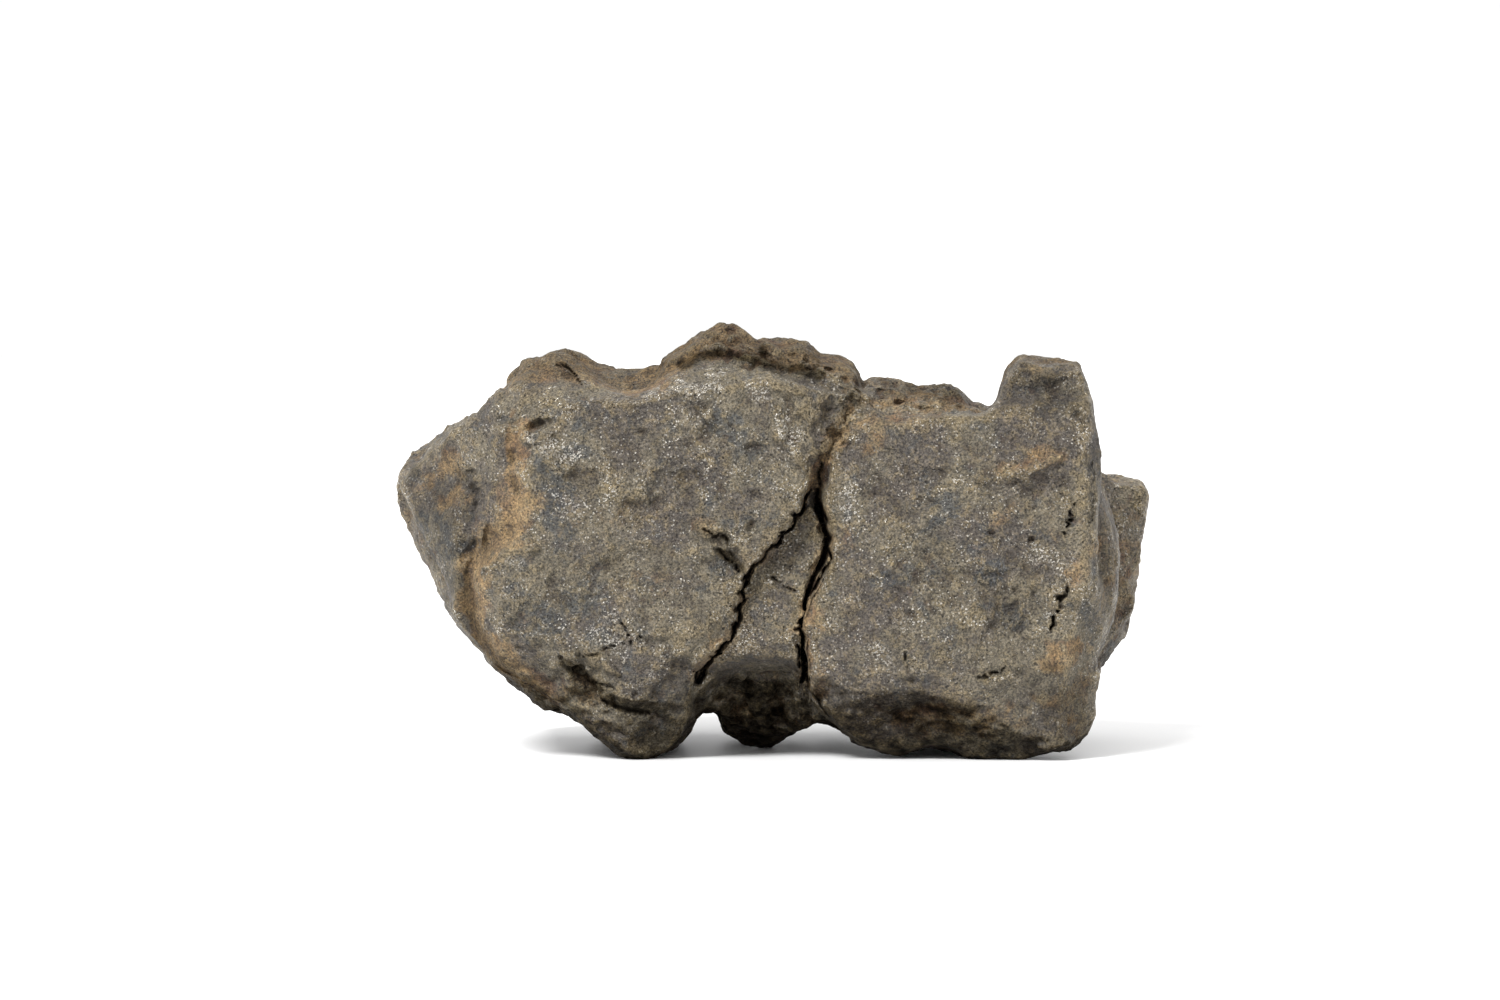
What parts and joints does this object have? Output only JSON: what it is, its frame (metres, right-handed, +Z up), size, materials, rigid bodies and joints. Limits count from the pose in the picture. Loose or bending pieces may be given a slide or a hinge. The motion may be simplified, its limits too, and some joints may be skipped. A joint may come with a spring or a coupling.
{
  "type": "meteorite",
  "caption": "Rough, angular meteorite fragment with two broad broken faces, a deep forking crack and an upright horn, standing free on its own points.",
  "frame": {"origin": "Centre of the bounding box in plan, at the height of the surface the stone stands on.", "axes": "+X runs to the right along the stone's longest extent as seen from the front, +Y away from the viewer through its depth, +Z up. The two broad broken faces look along -Y."},
  "size_m": [0.0528, 0.0296, 0.0295],
  "materials": {
    "weathered_iron": "fine-grained weathered iron, brown-grey with rust in its hollows and a dull sheen"
  },
  "bodies": {
    "root": {"meteorite": "weathered_iron"}
  },
  "joints": []
}
